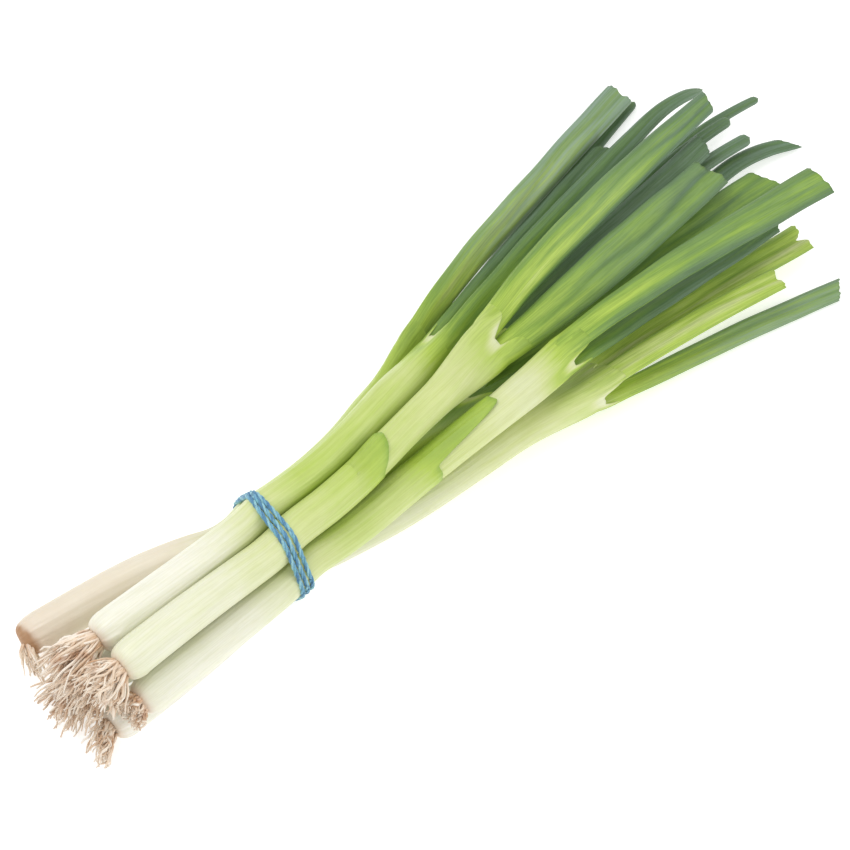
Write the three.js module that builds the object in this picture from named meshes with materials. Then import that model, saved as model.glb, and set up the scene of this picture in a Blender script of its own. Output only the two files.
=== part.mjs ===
// A bunch of seven spring onions lying down, held by one blue tie.
// Millimetres, +Z up. The bunch runs along X, roots at -X and leaf tips at +X, and rests on Z = 0.
// Every stem, leaf and root tuft is a closed loft through cross-sections that stand in planes of
// constant X. The cross-sections are then settled against each other, so that nothing overlaps.
import * as THREE from "three";

// Driving dimensions
const BULB_RADIUS = 6.9; // of a stem near its root plate
const STEM_RADIUS = 6.35; // from the tie onwards
const SLOT_RADIUS = 13.2; // from the middle onion to each of the six round it, at the tie
const TIE_CENTRE = [-81, 2.4, 22]; // the middle onion's axis at the tie
const TIE_WIDTH = 7;
const TIE_THICKNESS = 1.2;
const TIE_FORWARD = 2; // from the middle of the stems' straight run to the tie's middle
const TIE_LEAN = 0.26; // how far the tie shifts along X, per unit of Y
const TIE_RUN = 7.5; // each side of the tie's middle, where the stems lie straight along X
const ROOT_PLATE = 0.62; // radius of the root plate, as a share of the stem's

// How finely the solids are cut, and how far apart they stay
const STATION = 12; // between cross-sections
const SIDES = 12; // of a cross-section
const CLEARANCE = 0.45;
const JOINT_GAP = 0.4; // where one piece grows out of another

// An onion's [y, z] at the tie. Six stand in a ring, at an angle in degrees from +Y towards +Z,
// and the seventh is in the middle.
const MIDDLE = null;
function slotCentre(slot) {
  const reach = slot === MIDDLE ? 0 : SLOT_RADIUS;
  const angle = THREE.MathUtils.degToRad(slot ?? 0);
  return [TIE_CENTRE[1] + reach * Math.cos(angle), TIE_CENTRE[2] + reach * Math.sin(angle)];
}

// Each onion: its slot at the tie, how far its roots reach from the root plate, its stem's route
// from root plate to tie and from tie to fork, and its leaves. A route is a list of [x, y, z].
// Where an outer leaf has ended, its mouth is at an x. A leaf's width and thickness are given at
// its base, middle and tip, and its turn about X, in degrees, at its base and tip.
const onions = [
  {
    name: "onion_1",
    slot: 0,
    roots: [-7, -14, -4],
    toTie: [[-153, 45.2, 9], [-131, 37.3, 13], [-109, 29.3, 17.5]],
    toFork: [[-56, 12.5, 20], [-31, 12.5, 19.5], [-6, 16.5, 18], [12, 22, 16]],
    leaves: [
      {
        route: [[12, 23.5, 19], [39, 31, 17], [70, 36, 15], [120, 42, 12], [161, 47, 9]],
        width: [10, 11, 11],
        thick: [6, 6.5, 5],
        turn: [60, 25],
      },
      {
        route: [[12, 19, 13], [50, 27, 8], [101, 36, 4], [169, 44, 2]],
        width: [8, 7, 3.6],
        thick: [5, 4, 2.6],
        turn: [10, 0],
      },
    ],
  },
  {
    name: "onion_2",
    slot: 60,
    roots: [-18, 6, -7],
    toTie: [[-146, 17, 31], [-114, 12, 33]],
    toFork: [[-57, 6, 32], [-33, 7, 31], [-6, 10, 29], [16, 12, 27]],
    leaves: [
      {
        route: [[16, 15, 24], [55, 24, 15], [82, 28, 11], [140, 35, 7]],
        width: [9, 9, 8],
        thick: [5, 4.5, 3.5],
        turn: [35, 20],
      },
      {
        route: [
          [16, 10, 29], [41, 15, 24], [85, 21, 19], [121, 24, 17], [164, 28.5, 14.5],
          [182, 30, 11.5], [189, 27, 4.5],
        ],
        width: [9, 9.5, 4],
        thick: [5, 4.5, 2.5],
        turn: [50, 20],
      },
    ],
  },
  {
    name: "onion_3",
    slot: 120,
    mouth: -36,
    roots: [-15, 0, -4],
    toTie: [[-150, 2, 34.5], [-119, -1, 35]],
    toFork: [[-59, -6, 33], [-39, -6, 34], [-15, -5, 34], [14, -4, 32], [27, -3, 31]],
    leaves: [
      {
        route: [[27, 1, 33], [47, 5, 32], [72, 8, 30], [103, 10, 28], [134, 12, 26], [171, 12.5, 23.5]],
        width: [9, 12.5, 8.5],
        thick: [6, 5, 4],
        turn: [30, 20],
      },
      {
        route: [[27, -6, 29], [49, -8, 28], [71, -8, 27], [93, -8, 25], [116, -8, 23], [147, -8, 21]],
        width: [10, 17, 14],
        thick: [6, 5, 4],
        turn: [10, 15],
      },
    ],
  },
  {
    name: "onion_4",
    slot: 180,
    mouth: -18,
    roots: [-9, -1, -1],
    toTie: [[-150, -4.5, 21.5], [-132, -6, 22]],
    toFork: [[-59, -13, 20], [-40, -14, 21], [-10, -18, 24], [8, -21, 26], [28, -23, 28], [40, -23, 29]],
    leaves: [
      {
        route: [[40, -22, 31], [61, -24, 32], [84, -28, 32], [108, -32, 31], [132, -36.5, 29], [167, -42.5, 25]],
        width: [10, 12, 13],
        thick: [6, 6.5, 4.5],
        turn: [-10, 20],
      },
      {
        route: [[40, -25, 25], [80, -29, 21], [109, -33, 18], [147, -38, 15]],
        width: [10, 10, 8],
        thick: [4, 4, 3],
        turn: [-15, 0],
      },
    ],
  },
  {
    name: "onion_5",
    slot: 240,
    roots: [-12, -6, -1],
    toTie: [[-158, 3, 6], [-119, -1, 6]],
    toFork: [[-57, -8.2, 9], [-40, -13.2, 8], [-6, -20.8, 10], [29, -26.8, 12], [44, -30.6, 12]],
    leaves: [
      {
        route: [[44, -33.6, 15], [66, -39, 17], [92, -45, 17], [109, -49, 16], [127.5, -54, 14]],
        width: [10, 12, 11],
        thick: [5, 5, 4],
        turn: [-20, -10],
      },
      {
        route: [[44, -27.6, 12], [84, -32, 12], [112, -38, 10], [154, -46.3, 8]],
        width: [9, 11, 13],
        thick: [4.5, 4.5, 4],
        turn: [-10, 0],
      },
      {
        route: [[44, -34.8, 7], [71, -43, 4], [96, -50, 3], [120, -58, 2], [144, -68, 2]],
        width: [8, 9, 8.5],
        thick: [5, 5, 4.5],
        turn: [-10, 10],
      },
    ],
  },
  {
    name: "onion_6",
    slot: 300,
    roots: [-12, -2, -1],
    toTie: [[-151, 19, 6], [-119, 10, 6]],
    toFork: [[-40, 7, 8], [-6, 7, 9], [14, 7, 9]],
    leaves: [
      {
        route: [[14, 9, 13], [40, 13, 12], [90, 15, 9], [128, 12, 11], [162, 9, 13], [179, 7, 11]],
        width: [7, 6.5, 4.4],
        thick: [4, 3.5, 2.6],
        turn: [20, 20],
      },
      {
        route: [[14, 11, 6], [60, 16, 3], [134, 15, 4], [164, 15, 7], [180, 13, 8], [199, 8, 5]],
        width: [7, 6.5, 3.6],
        thick: [4, 3.5, 2.4],
        turn: [0, 10],
      },
      {
        route: [[14, 3, 6], [50, -5, 8], [80, -11, 12], [114, -12, 12], [133, -15, 11], [166, -20, 9]],
        width: [8, 12.5, 12.5],
        thick: [4, 4, 3.5],
        turn: [0, 5],
      },
    ],
  },
  {
    name: "onion_7",
    slot: MIDDLE,
    roots: [-12, 0, -3],
    toTie: [[-149, 11, 18], [-119, 4, 21]],
    toFork: [[-40, 0, 20], [-6, -3, 20], [8, -3, 19]],
    leaves: [
      {
        route: [[8, 1, 22], [51, 4, 19], [75, 4, 18], [98, 4, 16], [126, 4, 14], [158, 4, 13]],
        width: [8, 9.5, 9],
        thick: [4.5, 6, 5],
        turn: [10, 20],
      },
      {
        route: [[8, -4, 16], [40, 2, 10], [90, 4, 6], [122, 5, 8], [153, 1, 12], [177, -4, 10]],
        width: [8, 7, 5],
        thick: [4, 3.5, 3],
        turn: [0, 20],
      },
      {
        route: [
          [8, -8, 20], [40, -14, 15], [80, -20, 6], [119, -8, 3], [157, -3, 8.5], [177, -5, 11.5],
          [190, -13, 6.5],
        ],
        width: [7, 8.5, 6.5],
        thick: [4, 3.5, 2.6],
        turn: [-20, 10],
      },
    ],
  },
];

// Value at share t of a list of evenly spaced values.
function along(values, t) {
  const at = Math.min(Math.max(t, 0), 1) * (values.length - 1);
  const low = Math.min(Math.floor(at), values.length - 2);
  return THREE.MathUtils.lerp(values[low], values[low + 1], at - low);
}

// A smooth route as two functions of x.
function smoothRoute(points) {
  const curve = new THREE.CatmullRomCurve3(points.map((p) => new THREE.Vector3(...p)), false, "centripetal");
  const fine = curve.getPoints(40 * points.length);
  return (x) => {
    const next = fine.findIndex((p) => p.x >= x);
    if (next <= 0) return next === 0 ? [fine[0].y, fine[0].z] : [fine.at(-1).y, fine.at(-1).z];
    const a = fine[next - 1];
    const b = fine[next];
    const t = (x - a.x) / (b.x - a.x);
    return [THREE.MathUtils.lerp(a.y, b.y, t), THREE.MathUtils.lerp(a.z, b.z, t)];
  };
}

// The stations from one x to another: the ends, the sides of the tie and every whole step.
function stationsBetween(from, to) {
  const nearest = STATION / 3;
  const first = Math.ceil((from + nearest) / STATION);
  const last = Math.floor((to - nearest) / STATION);
  const steps = Array.from({ length: last - first + 1 }, (_, i) => (first + i) * STATION);
  const tieSides = [-TIE_RUN, TIE_RUN].map((dx) => TIE_CENTRE[0] + dx).filter((x) => x > from && x < to);
  return [from, ...steps, ...tieSides, to].sort((a, b) => a - b);
}

// How fast a route moves in y and z, per unit of x.
function slopeOf(route, x) {
  const STEP = 2;
  const [before, after] = [route(x - STEP), route(x + STEP)];
  return [(after[0] - before[0]) / (2 * STEP), (after[1] - before[1]) / (2 * STEP)];
}

// A strand is one long piece: a list of sections {x, y, z, a, b, turn}, with half-width a,
// half-thickness b and the turn of the wide direction about X. halfAxes gives them square to the
// strand, and a plane of constant X cuts a slanting strand aslant, so they are longer there.
function strand(name, kind, from, to, route, halfAxes) {
  const sections = stationsBetween(from, to).map((x) => {
    const [y, z] = route(x);
    const [dy, dz] = slopeOf(route, x);
    const { a, b, turn } = halfAxes(x, (x - from) / (to - from));
    const [cos, sin] = [Math.cos(turn), Math.sin(turn)];
    const wide = a * Math.hypot(1, dy * cos + dz * sin);
    const thick = b * Math.hypot(1, dz * cos - dy * sin);
    return { x, y, z, a: wide, b: thick, turn };
  });
  return { name, kind, sections };
}

function stemStrands(onion) {
  const atTie = [-TIE_RUN, TIE_RUN].map((dx) => [TIE_CENTRE[0] + dx, ...slotCentre(onion.slot)]);
  const route = smoothRoute([...onion.toTie, ...atTie, ...onion.toFork]);
  const rootEnd = onion.toTie[0][0];
  const fork = onion.toFork.at(-1)[0];
  // A stem narrows from its bulb, and again where an outer leaf has ended, and widens into its fork.
  const halfAxes = (x) => {
    const bulb = 1 - THREE.MathUtils.smoothstep(x, rootEnd, TIE_CENTRE[0] - TIE_RUN);
    const inner = onion.mouth !== undefined && x > onion.mouth ? 0.92 : 1;
    const spread = THREE.MathUtils.smoothstep(x, fork - 45, fork);
    const radius = THREE.MathUtils.lerp(STEM_RADIUS, BULB_RADIUS, bulb) * inner;
    return { a: radius * (1 + 0.25 * spread), b: radius * (1 - 0.08 * spread), turn: 0 };
  };
  const end = onion.mouth ?? fork;
  const strands = [strand(`${onion.name}_stem`, "stem", rootEnd, end, route, halfAxes)];
  if (onion.mouth !== undefined) {
    strands.push(strand(`${onion.name}_inner_stem`, "stem", end + JOINT_GAP, fork, route, halfAxes));
  }
  return strands;
}

function leafStrands(onion) {
  return onion.leaves.map((leaf, index) => {
    const route = smoothRoute(leaf.route);
    const from = leaf.route[0][0] + JOINT_GAP;
    const to = leaf.route.at(-1)[0];
    const halfAxes = (x, t) => ({
      a: along(leaf.width, t) / 2,
      b: along(leaf.thick, t) / 2,
      turn: THREE.MathUtils.degToRad(along(leaf.turn, t)),
    });
    return strand(`${onion.name}_leaf_${index + 1}`, "leaf", from, to, route, halfAxes);
  });
}

// The corners of a section in its plane, as [y, z], grown by a margin.
function corners(section, margin = 0) {
  const cos = Math.cos(section.turn);
  const sin = Math.sin(section.turn);
  return Array.from({ length: SIDES }, (_, i) => {
    const angle = ((i + 0.5) / SIDES) * 2 * Math.PI;
    const u = (section.a + margin) * Math.cos(angle);
    const v = (section.b + margin) * Math.sin(angle);
    return [section.y + u * cos - v * sin, section.z + u * sin + v * cos];
  });
}

const dot = (p, q) => p[0] * q[0] + p[1] * q[1];

// The shortest [dy, dz] that takes polygon q clear of polygon p, or null if they are clear.
function wayOut(p, q) {
  let best = null;
  for (const [inner, outer, sign] of [[p, q, 1], [q, p, -1]]) {
    for (let i = 0; i < SIDES; i++) {
      const [y0, z0] = inner[i];
      const [y1, z1] = inner[(i + 1) % SIDES];
      const length = Math.hypot(y1 - y0, z1 - z0);
      const normal = [(z1 - z0) / length, (y0 - y1) / length];
      const face = Math.max(...inner.map((corner) => dot(corner, normal)));
      const depth = face - Math.min(...outer.map((corner) => dot(corner, normal)));
      if (depth <= 0) return null;
      if (!best || depth < best.depth) {
        best = { depth, move: [sign * normal[0] * depth, sign * normal[1] * depth] };
      }
    }
  }
  return best.move;
}

// A strand's section at any x between its ends, with the two sections it lies between and their
// shares in it.
function sectionAt({ sections }, x) {
  const after = Math.max(sections.findIndex((s) => s.x >= x), 1);
  const [p, q] = [sections[after - 1], sections[after]];
  const t = (x - p.x) / (q.x - p.x);
  const mix = (key) => THREE.MathUtils.lerp(p[key], q[key], t);
  const shape = { x, y: mix("y"), z: mix("z"), a: mix("a"), b: mix("b"), turn: mix("turn") };
  return { ...shape, give: mix("give"), shares: [[p, 1 - t], [q, t]] };
}

// Moves a section found by sectionAt, by moving the two it lies between.
function moveSection({ shares }, dy, dz) {
  const total = shares.reduce((sum, [, share]) => sum + share * share, 0);
  for (const [section, share] of shares) {
    section.y += (dy * share) / total;
    section.z += (dz * share) / total;
  }
}

// Pushes the strands that overlap at x apart, the one that gives more going further.
function pushApart(strands, x) {
  const here = strands.filter(({ sections }) => sections[0].x <= x && sections.at(-1).x >= x);
  for (let i = 0; i < here.length; i++) {
    for (let j = i + 1; j < here.length; j++) {
      const [p, q] = [sectionAt(here[i], x), sectionAt(here[j], x)];
      const near = Math.max(p.a, p.b) + Math.max(q.a, q.b) + 2 * CLEARANCE;
      if (Math.hypot(p.y - q.y, p.z - q.z) > near || p.give + q.give === 0) continue;
      const move = wayOut(corners(p, CLEARANCE / 2), corners(q, CLEARANCE / 2));
      if (!move) continue;
      const share = q.give / (p.give + q.give);
      moveSection(q, move[0] * share, move[1] * share);
      moveSection(p, move[0] * (share - 1), move[1] * (share - 1));
    }
  }
}

// Spreads each section's shift from its route along the strand.
function smoothShifts({ sections }) {
  const SMOOTHING = 0.3;
  const shifts = sections.map((s) => [s.y - s.route[0], s.z - s.route[1]]);
  sections.forEach((s, i) => {
    if (s.give === 0) return;
    const before = shifts[Math.max(i - 1, 0)];
    const after = shifts[Math.min(i + 1, shifts.length - 1)];
    s.y += SMOOTHING * ((before[0] + after[0]) / 2 - shifts[i][0]);
    s.z += SMOOTHING * ((before[1] + after[1]) / 2 - shifts[i][1]);
  });
}

// Puts a section that is below the ground, or hardly above it, on it.
function seatOnGround(section) {
  const HARDLY = 0.3;
  const lowest = Math.min(...corners(section).map(([, z]) => z));
  if (lowest < HARDLY) section.z -= lowest;
}

// Settles the strands until none overlaps another or goes below the ground. Stems give way less
// than leaves, and not at all near the tie.
function settle(strands) {
  const ROUNDS = 260;
  const LAST_PUSHES = 60; // rounds at the end that only push
  const STEM_GIVE = 0.12;
  const HELD = 10; // each side of the tie
  for (const { kind, sections } of strands) {
    for (const section of sections) {
      const free = THREE.MathUtils.smoothstep(Math.abs(section.x - TIE_CENTRE[0]), HELD, 5 * HELD);
      section.give = kind === "leaf" ? 1 : STEM_GIVE * free;
      section.route = [section.y, section.z];
    }
  }
  const planes = new Set(strands.flatMap(({ sections }) => sections.map((s) => s.x)));
  for (let round = 0; round < ROUNDS; round++) {
    planes.forEach((x) => pushApart(strands, x));
    strands.forEach(({ sections }) => sections.forEach(seatOnGround));
    if (round < ROUNDS - LAST_PUSHES) strands.forEach(smoothShifts);
  }
}

// A closed loft through the sections. It is a lathe of a unit profile whose rings are then moved
// onto the sections. rings is a list of [section, scale], from one end to the other.
function loft(rings) {
  const profile = [new THREE.Vector2(0, 0)];
  rings.forEach(([, scale], i) => profile.push(new THREE.Vector2(scale, i)));
  profile.push(new THREE.Vector2(0, rings.length - 1));
  const geometry = new THREE.LatheGeometry(profile, SIDES, Math.PI / SIDES, 2 * Math.PI);
  const place = geometry.getAttribute("position");
  for (let i = 0; i < place.count; i++) {
    const [section] = rings[Math.round(place.getY(i))];
    const u = place.getZ(i) * section.a;
    const v = place.getX(i) * section.b;
    const cos = Math.cos(section.turn);
    const sin = Math.sin(section.turn);
    place.setXYZ(i, section.x, section.y + u * cos - v * sin, section.z + u * sin + v * cos);
  }
  geometry.computeVertexNormals();
  return geometry;
}

// A section moved along X by a distance, following the line to its neighbour.
function shifted(section, neighbour, dx) {
  const t = dx / (neighbour.x - section.x);
  const mix = (key) => THREE.MathUtils.lerp(section[key], neighbour[key], t);
  return { ...section, x: section.x + dx, y: mix("y"), z: mix("z"), a: mix("a"), b: mix("b") };
}

// A stem is rounded off at its root plate.
function stemRings({ sections }, rounded) {
  if (!rounded) return sections.map((s) => [s, 1]);
  const [first, second] = sections;
  return [[first, ROOT_PLATE], [shifted(first, second, 1.6), 0.86], [shifted(first, second, 4), 1]].concat(
    sections.slice(1).map((s) => [s, 1]),
  );
}

// A leaf is a hollow tube, open at its cut tip. The hollow is taken a short way in.
function leafRings({ sections }) {
  const HOLLOW = 5;
  const WALL = 0.8;
  const [last, before] = [sections.at(-1), sections.at(-2)];
  const share = 1 - WALL / Math.max(last.b, 1.5 * WALL);
  const floor = shifted(last, before, -HOLLOW);
  return [...sections.map((s) => [s, 1]), [last, share], [floor, share * 0.8]];
}

// A root tuft spreads from the root plate and stays above the ground. Its rings run towards +X.
function rootRings({ roots: [dx, dy, dz] }, { sections: [first, second] }) {
  const plate = shifted(first, second, -JOINT_GAP);
  const spread = [[1, 0.55], [0.75, 0.85], [0.35, 0.8], [0, ROOT_PLATE * 0.95]];
  return spread.map(([t, scale]) => {
    const ring = { ...plate, x: plate.x + t * dx, y: plate.y + t * dy, z: plate.z + t * dz };
    const lowest = scale * ring.b * Math.cos(Math.PI / SIDES);
    return [{ ...ring, z: Math.max(ring.z, lowest + 0.2) }, scale];
  });
}

// The tie's outline at a distance outside the seven stems: a hexagon with round corners.
function tieOutline(distance) {
  const POINTS = 36;
  const reach = STEM_RADIUS + distance;
  const centres = onions.map(({ slot }) => slotCentre(slot));
  return Array.from({ length: POINTS }, (_, i) => {
    const angle = ((i + 0.5) / POINTS) * 2 * Math.PI;
    const normal = [Math.cos(angle), Math.sin(angle)];
    const far = centres.reduce((best, c) => (dot(c, normal) > dot(best, normal) ? c : best));
    return new THREE.Vector2(far[0] + reach * normal[0], far[1] + reach * normal[1]);
  });
}

// The windings of the tie as one band.
function tieGeometry() {
  const band = new THREE.Shape(tieOutline(CLEARANCE + TIE_THICKNESS));
  band.holes.push(new THREE.Path(tieOutline(CLEARANCE)));
  const geometry = new THREE.ExtrudeGeometry(band, { depth: TIE_WIDTH, bevelEnabled: false });
  // The outline's x and y become Y and Z, and its depth runs along X.
  const turn = new THREE.Matrix4().makeBasis(
    new THREE.Vector3(0, 1, 0),
    new THREE.Vector3(0, 0, 1),
    new THREE.Vector3(1, 0, 0),
  );
  const lean = new THREE.Matrix4().makeShear(0, 0, TIE_LEAN, 0, 0, 0);
  return geometry
    .applyMatrix4(turn)
    .translate(TIE_FORWARD - TIE_WIDTH / 2, -TIE_CENTRE[1], 0)
    .applyMatrix4(lean)
    .translate(TIE_CENTRE[0], TIE_CENTRE[1], 0);
}

const material = (color, roughness) => new THREE.MeshStandardMaterial({ color, roughness, metalness: 0 });
const materials = {
  stem: material("#e6e8cf", 0.4),
  leaf: material("#6f9a48", 0.5),
  root: material("#cdb08c", 0.85),
  tie: material("#4f95bd", 0.8),
};

const bunch = new THREE.Group();
function add(name, geometry, finish) {
  const mesh = new THREE.Mesh(geometry, finish);
  mesh.name = name;
  bunch.add(mesh);
}

const grown = onions.map((onion) => ({ onion, stems: stemStrands(onion), leaves: leafStrands(onion) }));
settle(grown.flatMap(({ stems, leaves }) => [...stems, ...leaves]));
for (const { onion, stems, leaves } of grown) {
  stems.forEach((stem, i) => add(stem.name, loft(stemRings(stem, i === 0)), materials.stem));
  leaves.forEach((leaf) => add(leaf.name, loft(leafRings(leaf)), materials.leaf));
  add(`${onion.name}_roots`, loft(rootRings(onion, stems[0])), materials.root);
}
add("tie", tieGeometry(), materials.tie);

// The origin goes to the middle of the bunch's box, on the ground.
const box = new THREE.Box3().setFromObject(bunch);
const middle = box.getCenter(new THREE.Vector3());
bunch.children.forEach((mesh) => mesh.geometry.translate(-middle.x, -middle.y, -box.min.z));

export default bunch;
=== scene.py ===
"""A bunch of spring onions: stems, leaves, root tufts and twine, built round the CAD frame.

The CAD nodes are lofts through sections that stand in planes of constant X. Each new piece reads
those sections, runs smoothly through them and adds what the plain solids lack: sheath mouths,
ribs, creases, hollow cut tips, separate rootlets and a twisted twine.
"""

from functools import cache

import bpy
import numpy as np
from bpy.props import FloatProperty, FloatVectorProperty, PointerProperty
from mathutils import Matrix, Vector


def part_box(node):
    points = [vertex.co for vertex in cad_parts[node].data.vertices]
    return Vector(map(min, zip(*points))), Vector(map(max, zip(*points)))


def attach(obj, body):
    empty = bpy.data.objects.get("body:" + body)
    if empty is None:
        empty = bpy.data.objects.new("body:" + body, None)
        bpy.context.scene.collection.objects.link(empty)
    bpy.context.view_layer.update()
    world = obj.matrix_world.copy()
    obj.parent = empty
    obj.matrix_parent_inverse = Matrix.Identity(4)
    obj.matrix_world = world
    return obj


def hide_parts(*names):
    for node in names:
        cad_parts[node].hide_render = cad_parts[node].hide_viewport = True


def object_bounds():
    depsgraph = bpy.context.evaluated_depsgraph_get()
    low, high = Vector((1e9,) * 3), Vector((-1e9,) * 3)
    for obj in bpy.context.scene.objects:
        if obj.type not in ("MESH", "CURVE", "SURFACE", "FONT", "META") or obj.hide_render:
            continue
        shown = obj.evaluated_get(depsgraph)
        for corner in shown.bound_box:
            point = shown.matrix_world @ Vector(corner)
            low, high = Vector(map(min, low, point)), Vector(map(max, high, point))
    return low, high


bl_info = {
    "name": "Spring onion bunch",
    "version": (1, 0, 0),
    "blender": (4, 5, 0),
    "location": "3D View > Sidebar > Onions",
    "description": "Builds the stems, leaves, roots and tie of a bunch of spring onions",
    "category": "Object",
}

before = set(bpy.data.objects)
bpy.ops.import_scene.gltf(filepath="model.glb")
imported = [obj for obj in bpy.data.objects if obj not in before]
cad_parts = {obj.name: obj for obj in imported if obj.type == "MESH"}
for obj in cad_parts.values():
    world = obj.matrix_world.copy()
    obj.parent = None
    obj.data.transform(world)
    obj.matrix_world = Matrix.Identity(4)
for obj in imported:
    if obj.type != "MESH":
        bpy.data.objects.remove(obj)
CAD_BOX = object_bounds()
MM = 0.001
TAU = 2 * np.pi
GROUND = 0.05 * MM  # no new piece goes lower
ONIONS = ["onion_%d" % number for number in range(1, 8)]
TIE_CENTRE = sum(np.array(corner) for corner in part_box("tie")) / 2
COLUMNS = 96  # points round a stem or a leaf
ANGLES = TAU * np.arange(COLUMNS) / COLUMNS  # their turns, from +Y towards +Z
RAY = np.stack([np.cos(ANGLES), np.sin(ANGLES)], -1)
NORMALS = TAU * np.arange(180) / 180  # directions in which a tight wrapping is measured
NORMAL_RAY = np.stack([np.cos(NORMALS), np.sin(NORMALS)], -1)
HOLLOW_FLOOR = 13  # points in the plane of a CAD leaf's hollow floor
GRAZING = 0.08  # least cosine at which a tangent line still bounds an outline


# --- Reading the frame ---------------------------------------------------------------------


def ease(low, high, x):
    """0 below low, 1 above high, and 3t^2 - 2t^3 between them."""
    t = np.clip((x - low) / (high - low), 0, 1)
    return t * t * (3 - 2 * t)


def node_points(name):
    """The distinct vertices of a CAD node, as an n x 3 array."""
    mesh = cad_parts[name].data
    points = np.empty(3 * len(mesh.vertices), np.float32)
    mesh.vertices.foreach_get("co", points)
    return np.unique(points.reshape(-1, 3).round(6), axis=0).astype(float)


def planes_of(points):
    """Splits points into groups that share an X, in order of X."""
    order = points[np.argsort(points[:, 0])]
    return np.split(order, np.flatnonzero(np.diff(order[:, 0]) > 0.05 * MM) + 1)


def outer_ring(plane):
    """Centre and squared half-axes of a plane's outer ring.

    Points are measured in units of the plane's own spread, and those near the largest are the
    ring. An even ring on an ellipse has half the squared half-axes as its covariance.
    """
    flat = plane[:, 1:]
    about = flat - flat.mean(0)
    inverse = np.linalg.inv(about.T @ about / len(flat))
    far = np.sqrt(np.einsum("ni,ij,nj->n", about, inverse, about))
    ring = flat[far > 0.87 * far.max()]
    centre = ring.mean(0)
    about = ring - centre
    return centre, 2 * about.T @ about / len(ring)


class Route:
    """A long piece's sections along X: its centre and the matrix of its squared half-axes."""

    def __init__(self, x, centre, spread):
        self.x = np.asarray(x, float)
        self.centre = np.asarray(centre, float)
        self.spread = np.asarray(spread, float)

    @classmethod
    def of_node(cls, name, skip=0):
        """Reads a CAD node, leaving out its first few rings and the floor of its hollow tip."""
        planes = planes_of(node_points(name))
        kept = [
            plane
            for number, plane in enumerate(planes)
            if number >= skip
            and (len(plane) != HOLLOW_FLOOR or number in (0, len(planes) - 1))
        ]
        rings = [outer_ring(plane) for plane in kept]
        return cls([p[0, 0] for p in kept], [c for c, _ in rings], [s for _, s in rings])

    def eased(self, times):
        """This route with each inner section but the tie's averaged with its neighbours."""
        share = 0.5 * ease(0.008, 0.014, np.abs(self.x - TIE_CENTRE[0]))[1:-1]
        packed = np.concatenate([self.centre, self.spread.reshape(-1, 4)], 1)
        before, after = self.x[1:-1] - self.x[:-2], self.x[2:] - self.x[1:-1]
        part = (before / (before + after))[:, None]
        for _ in range(times):
            between = packed[:-2] * (1 - part) + packed[2:] * part
            packed[1:-1] += share[:, None] * (between - packed[1:-1])
        return Route(self.x, packed[:, :2], packed[:, 2:].reshape(-1, 2, 2))

    def joined(self, other):
        """This route followed by another that starts where it ends."""
        return Route(
            np.concatenate([self.x, other.x]),
            np.concatenate([self.centre, other.centre]),
            np.concatenate([self.spread, other.spread]),
        )

    def at(self, x):
        """Centre, spread and slope at each x, by cubics with central differences as end slopes."""
        packed = np.concatenate([self.centre, self.spread.reshape(-1, 4)], 1)
        slopes = np.gradient(packed, self.x, axis=0)
        i = np.clip(np.searchsorted(self.x, x) - 1, 0, len(self.x) - 2)
        width = self.x[i + 1] - self.x[i]
        t = ((x - self.x[i]) / width)[..., None]
        inside = np.clip(t, 0, 1)
        width = width[..., None]
        a, b, p, q = packed[i], packed[i + 1], slopes[i] * width, slopes[i + 1] * width
        c2, c3 = 3 * (b - a) - 2 * p - q, 2 * (a - b) + p + q
        value = a + inside * (p + inside * (c2 + inside * c3))
        slope = (p + inside * (2 * c2 + 3 * inside * c3)) / width
        value = value + (t - inside) * width * slope * np.array([1, 1, 0, 0, 0, 0])
        return value[..., :2], value[..., 2:].reshape(*np.shape(x), 2, 2), slope[..., :2]


def radial_of_support(support, angles):
    """How far a convex outline reaches along each angle, from its reach against each normal.

    The outline is inside every tangent line, so its reach along an angle is the least of the
    support over the cosine between angle and normal.
    """
    cosine = np.cos(angles[:, None] - NORMALS[None, :])
    reach = support[..., None, :] / np.where(cosine > GRAZING, cosine, np.nan)
    return np.nanmin(reach, axis=-1)


# --- Meshes --------------------------------------------------------------------------------


def closed_grid(rows, columns):
    """Quads of a grid that closes round its columns, and triangles that close its two ends.

    The poles are the two points after the grid's own. All faces point outwards.
    """
    here = np.arange(columns)
    after = (here + 1) % columns
    near = columns * np.arange(rows - 1)[:, None]
    far = near + columns
    quads = np.stack([near + here, near + after, far + after, far + here], -1)
    last = (rows - 1) * columns
    pole = np.full(columns, rows * columns)
    caps = [[pole, after, here], [last + here, last + after, pole + 1]]
    return quads.reshape(-1, 4), np.concatenate([np.stack(cap, -1) for cap in caps])


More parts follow.
